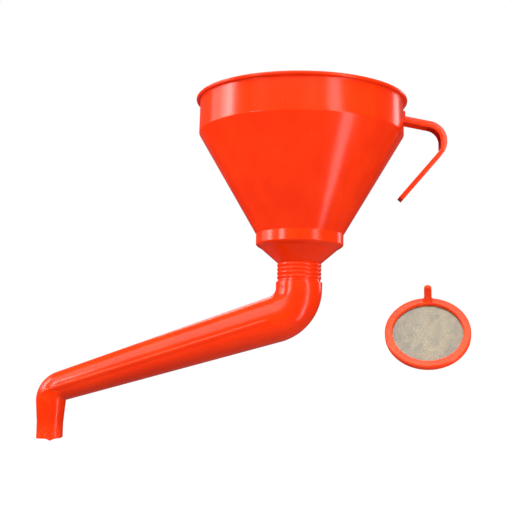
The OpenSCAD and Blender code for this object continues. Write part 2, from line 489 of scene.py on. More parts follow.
@dataclass(frozen=True)
class MouldedPolyethylene:
    """Glossy polyethylene with faint flow marks, fine scratches and scuffs where it is handled."""

    name: str
    body: Colour = (0.75, 0.031, 0.0022, 1.0)
    deep: Colour = (0.69, 0.024, 0.0018, 1.0)
    scuff: Colour = (0.98, 0.085, 0.030, 1.0)
    roughness: float = 0.20
    grain_depth: float = 0.012 * MM
    flow: Point = (1.0, 1.0, 0.16)
    worn_below: float = 0.014
    glow: float = 0.10
    shine: float = 0.15

    def make(self) -> bpy.types.Material:
        """Builds the finish.

        Returns:
            The material.
        """
        g = Graph(self.name)
        cloud = g.noise(38 * MM, 2.0)
        flow = g.noise(11 * MM, 3.0, self.flow)
        fine = g.noise(1.1 * MM, 2.0)
        scratch_a = g.noise(1.4 * MM, 1.0, (1.0, 1.0, 0.03), (0.25, 0.1, 0.4)).above(0.66, 0.74)
        scratch_b = g.noise(1.7 * MM, 1.0, (0.04, 1.0, 1.0), (0.2, 0.5, 0.9)).above(0.67, 0.75)
        patch = g.noise(16 * MM, 4.0).above(0.52, 0.70)
        scratches = (scratch_a + scratch_b) * patch
        worn = (1.0 - g.height().above(0.0, self.worn_below)) * g.noise(2.2 * MM, 4.0).above(0.40, 0.62)
        shade = cloud * 0.55 + flow * 0.45
        colour = g.blend(shade.above(0.36, 0.66), self.deep, self.body)
        colour = g.blend(scratches * 0.10 + worn * 0.25, colour, self.scuff)
        dull = self.roughness + flow * 0.09 + fine * 0.03 + scratches * 0.16 + worn * 0.20 - 0.06
        g.dent(fine * 0.5 + flow * 0.9 - scratches * 0.35 + worn * 0.4, self.grain_depth)
        return g.finish(Base_Color=colour, Roughness=dull, Specular_IOR_Level=self.shine, IOR=1.5,
                        Subsurface_Weight=self.glow, Subsurface_Radius=(1.0, 0.22, 0.06),
                        Subsurface_Scale=2.5 * MM)


@dataclass(frozen=True)
class WovenBrass:
    """Brass wire, a little tarnished in patches."""

    name: str
    bright: Colour = (0.42, 0.34, 0.17, 1.0)
    tarnish: Colour = (0.26, 0.21, 0.11, 1.0)
    green: Colour = (0.27, 0.29, 0.16, 1.0)

    def make(self) -> bpy.types.Material:
        """Builds the finish.

        Returns:
            The material.
        """
        g = Graph(self.name)
        patch = g.noise(9 * MM, 3.0).above(0.40, 0.62)
        verdigris = g.noise(6 * MM, 2.0, (1, 1, 1), (1.1, 0.3, 0.2)).above(0.56, 0.74)
        grain = g.noise(0.35 * MM, 2.0)
        colour = g.blend(patch, self.bright, self.tarnish)
        colour = g.blend(verdigris * 0.45, colour, self.green)
        g.dent(grain, 0.01 * MM)
        return g.finish(Base_Color=colour, Roughness=0.34 + patch * 0.18 + grain * 0.08,
                        Metallic=0.75 - verdigris * 0.2)


@dataclass(frozen=True)
class NitrileRubber:
    """Black rubber with a dusty bloom and fine pores."""

    name: str
    body: Colour = (0.012, 0.012, 0.013, 1.0)
    bloom: Colour = (0.055, 0.053, 0.050, 1.0)

    def make(self) -> bpy.types.Material:
        """Builds the finish.

        Returns:
            The material.
        """
        g = Graph(self.name)
        dust = g.noise(5 * MM, 4.0).above(0.42, 0.68)
        pores = g.noise(0.3 * MM, 3.0)
        g.dent(pores, 0.02 * MM)
        return g.finish(Base_Color=g.blend(dust * 0.7, self.body, self.bloom),
                        Roughness=0.46 + dust * 0.2 + pores * 0.1)


@dataclass(frozen=True)
class StudioPaper:
    """The pale paper of the floor."""

    name: str
    body: Colour = (0.30, 0.30, 0.30, 1.0)
    fibre: Colour = (0.27, 0.27, 0.27, 1.0)
    white: Colour = (1.0, 1.0, 1.0, 1.0)
    unlit: Colour = (0.0, 0.0, 0.0, 1.0)

    def make(self) -> bpy.types.Material:
        """Builds the finish.

        Returns:
            The material.
        """
        g = Graph(self.name)
        fibres = g.noise(4 * MM, 4.0)
        g.dent(fibres, 0.05 * MM)
        seen = g.node("ShaderNodeLightPath", {}, {}, "Is Camera Ray")
        return g.finish(Base_Color=g.blend(fibres, self.fibre, self.body), Roughness=0.9 - fibres * 0.05,
                        Emission_Color=g.blend(seen, self.unlit, self.white), Emission_Strength=1.0)


def hand_over(piece: bpy.types.Object, body: str, node: str, material: bpy.types.Material) -> None:
    """Puts a finished piece in the place of its CAD node.

    Args:
        piece: The piece.
        body: Body that it rides on.
        node: CAD node that it stands for.
        material: Its finish.
    """
    piece.data.materials.clear()
    piece.data.materials.append(material)
    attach(piece, body)
    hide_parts(node)
    triangles = sum(len(polygon.vertices) - 2 for polygon in piece.data.polygons)
    log.info("%s: %d triangles, rides on %s", piece.name, triangles, body)


# ---- Bowl ----


@dataclass
class Bowl:
    """The bowl: turned-out lip, band, long cone, strainer collar, short cone, ringed neck and spigot."""

    bead_r: float = 1.4 * MM
    bead_lip: float = 3.0 * MM
    band_h: float = 26.0 * MM
    band_flare: float = 0.4 * MM
    cone_h: float = 76 * MM
    collar_r: float = 32.8 * MM
    collar_h: float = 9.1 * MM
    low_cone_h: float = 12.7 * MM
    neck_r: float = 16 * MM
    neck_h: float = 14 * MM
    ring_count: int = 4
    ring_pitch: float = 3 * MM
    ring_depth: float = 0.75 * MM
    spigot_r: float = 14.4 * MM
    wall: float = 1.8 * MM
    collar_wall: float = 1.6 * MM
    seat_w: float = 4.7 * MM
    segments: int = 192
    finish: MouldedPolyethylene = field(default_factory=lambda: MouldedPolyethylene("glossy_orange_bowl"))

    def __post_init__(self) -> None:
        """Takes the heights and the rim's radius from the frame."""
        low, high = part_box("bowl")
        self.axis = Vector(((low.x + high.x) / 2, 0, 0))
        self.rim_r = (high.x - low.x) / 2
        self.foot_z = low.z
        self.rim_z = high.z - self.bead_r
        self.band_z = self.rim_z - self.band_h
        self.collar_top = self.band_z - self.cone_h
        self.collar_z = self.collar_top - self.collar_h
        self.neck_top = self.collar_z - self.low_cone_h
        self.neck_z = self.neck_top - self.neck_h
        self.band_top_r = self.rim_r - self.bead_lip
        self.band_foot_r = self.band_top_r + self.band_flare

    def band_r(self, z: float) -> float:
        """Outer radius of the band at a height."""
        return self.band_foot_r - self.band_flare * (z - self.band_z) / self.band_h

    def outside(self) -> list[Corner]:
        """Outer edge of the wall, from the spigot's mouth up to the lip.

        Returns:
            The corners in order.
        """
        bevel, step_w, step_rise = 1.2 * MM, 3.0 * MM, 1.8 * MM
        taper = 1.0 * MM
        ring_half = self.ring_pitch / 2
        bulge = (ring_half ** 2 + self.ring_depth ** 2) / (2 * self.ring_depth)
        open_half = math.degrees(math.asin(ring_half / bulge)) * 0.97
        groove_r = self.neck_r - 0.2 * MM
        top_ring = self.neck_top - ring_half - 0.1 * MM
        corners = [
            Corner(self.spigot_r - taper, self.foot_z, 0.4 * MM),
            Corner(self.spigot_r, (self.foot_z + self.neck_z) / 2, 1.0 * MM),
            Corner(self.spigot_r, self.neck_z, 0.2 * MM),
            Corner(self.neck_r, self.neck_z, 0.3 * MM),
        ]
        for i in reversed(range(self.ring_count)):
            middle = (groove_r + self.ring_depth - bulge, top_ring - i * self.ring_pitch)
            corners += arc(middle, bulge, -open_half, open_half, 8)
        corners += [
            Corner(self.neck_r, self.neck_top, 0.3 * MM),
            Corner(self.collar_r - bevel - step_w, self.collar_z - step_rise, 0.8 * MM),
            Corner(self.collar_r - bevel, self.collar_z, 0.5 * MM),
            Corner(self.collar_r, self.collar_z + bevel, 0.8 * MM),
            Corner(self.collar_r, self.collar_top, 0.5 * MM),
            Corner(self.band_foot_r, self.band_z, 1.4 * MM),
            Corner(self.band_top_r, self.rim_z - self.bead_r, 0.5 * MM),
        ]
        return corners + arc((self.rim_r - self.bead_r, self.rim_z), self.bead_r, -84, 84, 14)

    def inside(self) -> list[Corner]:
        """Inner edge of the wall, from the lip down to the spigot's mouth.

        Returns:
            The corners in order.
        """
        run = (self.band_foot_r - self.collar_r) / self.cone_h
        cone_wall = self.wall * math.hypot(1, run)
        seat_r = self.collar_r - self.collar_wall
        seat_z = self.collar_z + 1.4 * MM
        seat_top = self.band_z - (self.band_foot_r - cone_wall - seat_r) / run
        low_r, low_z = self.collar_r - 4.2 * MM, self.collar_z - 1.8 * MM
        low_run = (low_r - self.neck_r) / (low_z - self.neck_top)
        low_wall = self.wall * math.hypot(1, low_run)
        ledge_r, bore_r = seat_r - self.seat_w, self.neck_r - self.wall
        mouth_r = self.spigot_r - self.wall
        return [
            Corner(self.band_top_r - self.wall, self.rim_z + self.bead_r, 0.8 * MM),
            Corner(self.band_foot_r - cone_wall, self.band_z, 1.0 * MM),
            Corner(seat_r, seat_top, 0.5 * MM),
            Corner(seat_r, seat_z, 0.3 * MM),
            Corner(ledge_r, seat_z, 0.4 * MM),
            Corner(ledge_r, low_z - (low_r - low_wall - ledge_r) / low_run, 0.3 * MM),
            Corner(bore_r, low_z - (low_r - low_wall - bore_r) / low_run, 1.5 * MM),
            Corner(bore_r, self.neck_z + self.wall, 0.5 * MM),
            Corner(mouth_r, self.neck_z, 0.5 * MM),
            Corner(mouth_r - 1.0 * MM, self.foot_z, 0.4 * MM),
        ]

    def build(self) -> bpy.types.Object:
        """Turns the bowl and hands it over.

        Returns:
            The bowl.
        """
        outline = rounded(self.outside() + self.inside())
        piece = turned("bowl_moulding", self.axis, outline, self.segments)
        hand_over(piece, "bowl", "bowl", self.finish.make())
        return piece


# ---- Handle ----


@dataclass
class Handle:
    """The hook handle: a flat strip with two stiffening ribs under its arm and bend, on a pad."""

    bowl: Bowl
    width: float = 13 * MM
    skin: float = 3.4 * MM
    depth: float = 4.8 * MM
    rib: float = 2.0 * MM
    drop: float = 10.2 * MM
    arm_len: float = 21.3 * MM
    arm_fall: float = 10.3
    hook_r: float = 15.4 * MM
    leg_slant: float = 50.0
    leg_len: float = 47 * MM
    pad_w: float = 17 * MM
    pad_t: float = 1.4 * MM
    pad_rise: float = 3.2 * MM
    pad_fall: float = 1.0 * MM
    pad_sink: float = 0.5 * MM
    end_r: float = 4.5 * MM
    edge: float = 0.45 * MM
    finish: MouldedPolyethylene = field(
        default_factory=lambda: MouldedPolyethylene("glossy_orange_handle", flow=(0.3, 1.0, 1.0)))

    def __post_init__(self) -> None:
        """Works out the arm's root and the sweep of the bend."""
        self.root = self.bowl.axis + Vector(
            (self.bowl.band_foot_r - self.bowl.wall / 2, 0, self.bowl.rim_z - self.drop))
        self.sweep = math.radians(180 - self.arm_fall - self.leg_slant)
        self.hook_c = Vector((self.arm_len, 0, -self.hook_r))
        self.leg_dir = Vector((math.cos(self.sweep), 0, -math.sin(self.sweep)))
        self.leg_out = Vector((math.sin(self.sweep), 0, math.cos(self.sweep)))

    def down_leg(self, point: Vector) -> float:
        """How far down the leg a point lies, from the end of the bend."""
        return (point - self.hook_c - self.leg_out * self.hook_r).dot(self.leg_dir)

    def rib_depth(self, point: Vector) -> float | None:
        """How deep the ribs are beside a point of the untilted handle.

        Args:
            point: A point of the bend or the leg.

        Returns:
            The depth under the outer face, or None along the arm, where it is full.
        """
        rib_in_r = self.hook_r - self.depth
        offset = point - self.hook_c
        turned_by = math.atan2(offset.x, offset.z)
        level = math.radians(90 - self.arm_fall)
        if point.x < self.arm_len and point.z > -self.hook_r:
            return None
        if self.down_leg(point) > NEAR:
            return self.skin
        if turned_by <= level:
            return None
        return max(self.skin, self.hook_r - rib_in_r / math.cos(turned_by - level))

    def outer_depth(self, point: Vector) -> tuple[float, Vector]:
        """Depth of a point under the handle's outer face.

        Args:
            point: A point of the bend or the leg.

        Returns:
            The depth, and the direction in which it grows.
        """
        offset = point - self.hook_c
        if self.down_leg(point) > NEAR:
            return self.hook_r - offset.dot(self.leg_out), -self.leg_out
        radial = Vector((offset.x, 0, offset.z))
        return self.hook_r - radial.length, -radial.normalized()

    def strip(self) -> bpy.types.Object:
        """Models the strip and its ribs as one channel, extruded along the arm, bend and leg.

        Returns:
            The strip, with its root at the origin and its arm level.
        """
        start = 1.0 * MM
        Bench.clear()
        bpy.ops.mesh.primitive_cube_add(size=1, location=(start / 2, 0, -self.skin / 2))
        piece = Bench.name("handle_moulding", (start, self.width, self.skin))
        Bench.edit("FACE")
        inner = self.width / 2 - self.rib
        for side in (-1, 1):
            bpy.ops.mesh.select_all(action="SELECT")
            bpy.ops.mesh.bisect(plane_co=(0, side * inner, 0), plane_no=(0, 1, 0))
        Bench.pick_faces(piece, lambda f: f.normal.z < -0.9 and abs(f.calc_center_median().y) > inner)
        bpy.ops.mesh.extrude_region_move(TRANSFORM_OT_translate={"value": (0, 0, self.skin - self.depth)})
        Bench.pick_faces(piece, lambda f: f.normal.x > 0.9)
        arm_steps, bend_steps, leg_steps = 6, 30, 20
        for _ in range(arm_steps):
            step = (self.arm_len - start) / arm_steps
            bpy.ops.mesh.extrude_region_move(TRANSFORM_OT_translate={"value": (step, 0, 0)})
        bpy.ops.mesh.spin(steps=bend_steps, angle=SPIN_SIGN * self.sweep, center=self.hook_c, axis=(0, 1, 0))
        leg_step = self.leg_dir * (self.leg_len / leg_steps)
        for _ in range(leg_steps):
            bpy.ops.mesh.extrude_region_move(TRANSFORM_OT_translate={"value": leg_step})
        bpy.ops.object.mode_set(mode="OBJECT")
        for vertex in piece.data.vertices:
            wanted = self.rib_depth(vertex.co)
            depth, inwards = self.outer_depth(vertex.co)
            if wanted is not None and depth > self.skin + 0.05 * MM:
                vertex.co += inwards * (wanted - depth)
        Bench.close(piece, 0.02 * MM)
        self.round_free_end(piece)
        Bench.round_edges(piece, self.edge)
        return piece

    def round_free_end(self, piece: bpy.types.Object) -> None:
        """Rounds the corners of the leg's free end, seen flat on.

        Args:
            piece: The strip.
        """
        furthest = max(vertex.co.dot(self.leg_dir) for vertex in piece.data.vertices)
        half_w = self.width / 2

        def end_corner(edge: bmesh.types.BMEdge) -> bool:
            """Says whether an edge runs through the strip at a corner of its free end.

            Args:
                edge: An edge of the strip.

            Returns:
                True at the two corners.
            """
            return all(v.co.dot(self.leg_dir) > furthest - NEAR and abs(v.co.y) > half_w - NEAR
                       for v in edge.verts)

        Bench.edit("EDGE")
        Bench.pick_edges(piece, end_corner)
        bpy.ops.mesh.bevel(offset=self.end_r, segments=8, affect="EDGES")
        bpy.ops.object.mode_set(mode="OBJECT")

    def pad(self) -> bpy.types.Object:
        """Models the pad that spreads the arm's root over the band.

        Returns:
            The pad, in its place.
        """
        low = self.root.z - self.depth - self.pad_fall
        high = self.root.z + self.pad_rise
        Bench.clear()
        bpy.ops.mesh.primitive_grid_add(x_subdivisions=10, y_subdivisions=14, size=1,
                                        rotation=(0, math.radians(90), 0),
                                        location=(0, 0, (low + high) / 2))
        piece = Bench.name("handle_pad", (high - low, self.pad_w, 1))
        for vertex in piece.data.vertices:
            radius = self.bowl.band_r(vertex.co.z) - self.pad_sink
            across = vertex.co.y
            vertex.co = self.bowl.axis + Vector((math.sqrt(radius ** 2 - across ** 2), across, vertex.co.z))
        Bench.close(piece)
        wall = piece.modifiers.new("thickness", "SOLIDIFY")
        wall.thickness = self.pad_t + self.pad_sink
        wall.offset = 1.0 if piece.data.polygons[0].normal.x > 0 else -1.0
        wall.use_even_offset = True
        Bench.apply(piece)
        Bench.close(piece)
        Bench.round_edges(piece, 0.7 * MM, above=50, segments=4)
        return piece

    def build(self) -> bpy.types.Object:
        """Models the handle and hands it over.

        Returns:
            The handle.
        """
        strip = self.strip()
        Bench.lay(strip, (0, self.arm_fall, 0), self.root)
        piece = Bench.join([strip, self.pad()])
        Bench.smooth(piece)
        hand_over(piece, "bowl", "handle", self.finish.make())
        return piece


# ---- Seal ----


@dataclass
class SealRing:
    """The rubber ring between spigot and socket, with two lips outside and two inside."""

    lip: float = 0.35 * MM
    segments: int = 160
    finish: NitrileRubber = field(default_factory=lambda: NitrileRubber("black_nitrile"))

    def build(self) -> bpy.types.Object:
        """Turns the ring and hands it over.

        Returns:
            The ring.
        """
        low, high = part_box("seal_ring")
        axis = Vector(((low.x + high.x) / 2, 0, 0))
        outer = (high.x - low.x) / 2
        inner = outer - 1.6 * MM
        middle = (low.z + high.z) / 2
        edge = 0.35 * MM
        corners = [
            Corner(inner, low.z, edge),
            Corner(outer, low.z, edge),
            Corner(outer, middle - edge, 0.2 * MM),
            Corner(outer - self.lip, middle, 0.2 * MM),
            Corner(outer, middle + edge, 0.2 * MM),
            Corner(outer, high.z, edge),
            Corner(inner, high.z, edge),
            Corner(inner, middle + edge, 0.2 * MM),
            Corner(inner + self.lip, middle, 0.2 * MM),
            Corner(inner, middle - edge, 0.2 * MM),
        ]
        piece = turned("seal_ring_rubber", axis, rounded(corners, 3), self.segments)
        hand_over(piece, "seal", "seal_ring", self.finish.make())
        return piece


# ---- Spout ----


class Stretch(Enum):
    """The stretches of the spout's centre line, from the outlet up."""

    TIP = "tip"
    BEND = "bend"
    TUBE = "tube"
    ELBOW = "elbow"


@dataclass
class OffsetSpout:
    """The spout: upright tip, tight bend, tapering tube with a raised side seam, elbow and socket."""

    slope: float = 18.4
    socket_r: float = 17.3 * MM
    socket_h: float = 4.5 * MM
    elbow_r: float = 24.5 * MM
    bend_pipe_r: float = 10.9 * MM
    bend_r: float = 11.2 * MM
    tip_len: float = 28 * MM
    tip_r: float = 9.6 * MM
    tip_straight: float = 12 * MM
    wall: float = 1.8 * MM
    seal_r: float = 16.1 * MM
    seal_h: float = 2.5 * MM
    seam_h: float = 0.85 * MM
    seam_above: float = 1.0 * MM
    seam_below: float = 3.4 * MM
    segments: int = 256
    finish: MouldedPolyethylene = field(
        default_factory=lambda: MouldedPolyethylene("glossy_orange_spout", flow=(0.25, 1.0, 0.8)))

    def __post_init__(self) -> None:
        """Works out the centre line between the outlet and the bowl's axis."""
        low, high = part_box("bowl")
        self.reach = (low.x + high.x) / 2
        self.turn = math.radians(90 - self.slope)
        tilt = math.radians(self.slope)
        self.bend_c = Vector((self.bend_r, 0, self.tip_len))
        self.tube_start = Vector((self.bend_r * (1 - math.cos(self.turn)), 0,
                                  self.tip_len + self.bend_r * math.sin(self.turn)))
        bends = (self.bend_r + self.elbow_r) * (1 - math.cos(self.turn))
        self.tube_len = (self.reach - bends) / math.cos(tilt)
        self.tube_dir = Vector((math.cos(tilt), 0, math.sin(tilt)))
        elbow_z = (self.tube_start + self.tube_dir * self.tube_len).z + self.elbow_r * math.sin(self.turn)
        self.elbow_c = Vector((self.reach - self.elbow_r, 0, elbow_z))
        self.top_z = elbow_z + self.socket_h

    def move(self, step: Vector, centre: Vector, scale: float) -> None:
        """Extrudes the open ring by a step and scales it about its new centre.

        Args:
            step: How far the ring moves.
            centre: The ring's centre after the step.
            scale: Its new size over its old one.
        """
        bpy.ops.mesh.extrude_region_move(TRANSFORM_OT_translate={"value": step})
        if abs(scale - 1) > TINY:
            bpy.ops.transform.resize(value=(scale, scale, scale), center_override=centre)

    def straight(self, run: Vector, steps: int) -> None:
        """Extrudes the ring straight on in equal steps, with no change of size."""
        for _ in range(steps):
            self.move(run / steps, Vector(), 1.0)

    def taper(self, start: Vector, run: Vector, radii: FlatPoint, steps: int) -> None:
        """Extrudes the ring along a straight run while its radius changes evenly.

        Args:
            start: Centre of the ring before the run.
            run: The whole run.
            radii: Radius at its start and at its end.
            steps: Number of equal steps.
        """
        radius = radii[0]
        for i in range(1, steps + 1):
            target = radii[0] + (radii[1] - radii[0]) * i / steps
            self.move(run / steps, start + run * (i / steps), target / radius)
            radius = target

    def sweep(self, turn: float, centre: Vector, steps: int) -> None:
        """Turns the ring round a bend, whose centre line lies in the XZ plane."""
        bpy.ops.mesh.spin(steps=steps, angle=SPIN_SIGN * turn, center=centre, axis=(0, 1, 0))

    def skin_up(self) -> None:
        """Extrudes the outer skin from the outlet to the socket's mouth."""
        straight_top = Vector((0, 0, self.tip_straight))
        self.straight(straight_top, 4)
        rise = Vector((0, 0, self.tip_len - self.tip_straight))
        self.taper(straight_top, rise, (self.tip_r, self.bend_pipe_r), 8)
        self.sweep(self.turn, self.bend_c, 22)
        self.taper(self.tube_start, self.tube_dir * self.tube_len, (self.bend_pipe_r, self.socket_r), 44)
        self.sweep(-self.turn, self.elbow_c, 30)

    def mouth(self) -> None:
        """Rounds the socket's lip and sinks the seal's recess and the bore."""
        axis = Vector((self.reach, 0, 0))
        bore_r = self.socket_r - self.wall
        outline = rounded([
            Corner(self.socket_r, self.top_z - self.socket_h),
            Corner(self.socket_r, self.top_z, 0.35 * MM),
            Corner(self.seal_r, self.top_z, 0.2 * MM),
            Corner(self.seal_r, self.top_z - self.seal_h),
            Corner(bore_r, self.top_z - self.seal_h, 0.15 * MM),
            Corner(bore_r, self.top_z - self.socket_h),
        ], 4)
        r, z = outline[0]
        for next_r, next_z in outline[1:]:
            self.move(Vector((0, 0, next_z - z)), axis + Vector((0, 0, next_z)), 1.0)
            scale = next_r / r
            bpy.ops.transform.resize(value=(scale, scale, 1), center_override=axis + Vector((0, 0, next_z)))
            r, z = next_r, next_z

    def bore_down(self) -> None:
        """Extrudes the inner skin from the socket back to the outlet."""
        elbow, bend, tip = (r - self.wall for r in (self.socket_r, self.bend_pipe_r, self.tip_r))
        tube = self.tube_dir * self.tube_len
        self.sweep(self.turn, self.elbow_c, 24)
        self.taper(self.tube_start + tube, -tube, (elbow, bend), 20)
        self.sweep(-self.turn, self.bend_c, 16)
        straight_top = Vector((0, 0, self.tip_straight))
        self.move(Vector((0, 0, self.tip_straight - self.tip_len)), straight_top, tip / bend)
        self.straight(-straight_top, 3)
        self.move(Vector(), Vector(), self.tip_r / tip)

    def place(self, point: Vector) -> tuple[Stretch, Vector, Vector, float]:
        """Finds where a point lies along the spout.

        Args:
            point: A point of the wall.

        Returns:
            Its stretch, the centre of its ring, the ring's upward direction and the way along the stretch.
        """
        along = (point - self.tube_start).dot(self.tube_dir)
        past_bend = point.z > self.tip_len + (point.x - self.bend_r) * -math.tan(self.turn)
        side = Vector((-self.tube_dir.z, 0, self.tube_dir.x))
        if point.z <= self.tip_len and point.x < self.bend_r + self.bend_pipe_r and along < 0:
            return Stretch.TIP, Vector((0, 0, point.z)), Vector((-1, 0, 0)), point.z
        if along < 0 and past_bend:
            out = Vector((point.x - self.bend_c.x, 0, point.z - self.bend_c.z))
            return Stretch.BEND, self.bend_c + out.normalized() * self.bend_r, out.normalized(), 0.0
        if along <= self.tube_len:
            return Stretch.TUBE, self.tube_start + self.tube_dir * along, side, along
        return Stretch.ELBOW, point, side, along

    def raise_seam(self, piece: bpy.types.Object) -> None:
        """Raises the mould's seam along both sides: a crest with a steep upper flank and a long lower one.

        Args:
            piece: The spout.
        """
        fade_in, fade_out = 10 * MM, 6 * MM
        for vertex in piece.data.vertices:
            stretch, centre, up, along = self.place(vertex.co)
            if stretch is Stretch.ELBOW:
                continue
            spoke = vertex.co - centre
            radius = spoke.length
            pipe = {Stretch.TIP: self.tip_r, Stretch.BEND: self.bend_pipe_r}.get(
                stretch, self.bend_pipe_r + (self.socket_r - self.bend_pipe_r) * along / self.tube_len)
            if radius < pipe - self.wall / 2:
                continue
            weight = 1.0
            if stretch is Stretch.TUBE:
                weight = max(0.0, min(1.0, (self.tube_len - fade_out - along) / fade_in))
            if stretch is Stretch.TIP:
                weight = 0.12 + 0.88 * max(0.0, min(1.0, (along - self.tip_straight) / fade_in))
            drop = -math.atan2(spoke.dot(up), abs(spoke.y)) * radius
            width = self.seam_below if drop > 0 else self.seam_above
            share = abs(drop) / width
            if share < 1:
                lift = self.seam_h * weight * (0.5 + 0.5 * math.cos(math.pi * share))
                vertex.co += spoke.normalized() * lift

    def trim_outlet(self, piece: bpy.types.Object) -> None:
        """Leaves the outlet as it was trimmed: cut a little high on one side, with a small nib beside it.

        Args:
            piece: The spout.
        """
        high_cut, nib, reach = 1.6 * MM, 1.3 * MM, 5 * MM
        for vertex in piece.data.vertices:
            if vertex.co.z > reach or vertex.co.x > self.bend_r:
                continue
            angle = math.atan2(-vertex.co.y, vertex.co.x)
            share = 1 - vertex.co.z / reach
            lift = high_cut * max(0.0, math.cos(angle * 1.4)) ** 2 if abs(angle) < math.radians(64) else 0.0
            lift -= nib * math.exp(-((angle - math.radians(78)) / math.radians(11)) ** 2)
            vertex.co.z += lift * share

    def build(self) -> bpy.types.Object:
        """Extrudes the spout and hands it over.

        Returns:
            The spout.
        """
        Bench.clear()
        bpy.ops.mesh.primitive_circle_add(vertices=self.segments, radius=self.tip_r, fill_type="NOTHING")
        piece = Bench.name("offset_spout_moulding")
        Bench.edit("VERT")
        self.skin_up()
        self.mouth()
        self.bore_down()
        bpy.ops.object.mode_set(mode="OBJECT")
        Bench.close(piece, 0.004 * MM)
        self.raise_seam(piece)
        self.trim_outlet(piece)
        Bench.smooth(piece, 42)
        hand_over(piece, "spout", "offset_spout", self.finish.make())
        return piece


# ---- Strainer ----


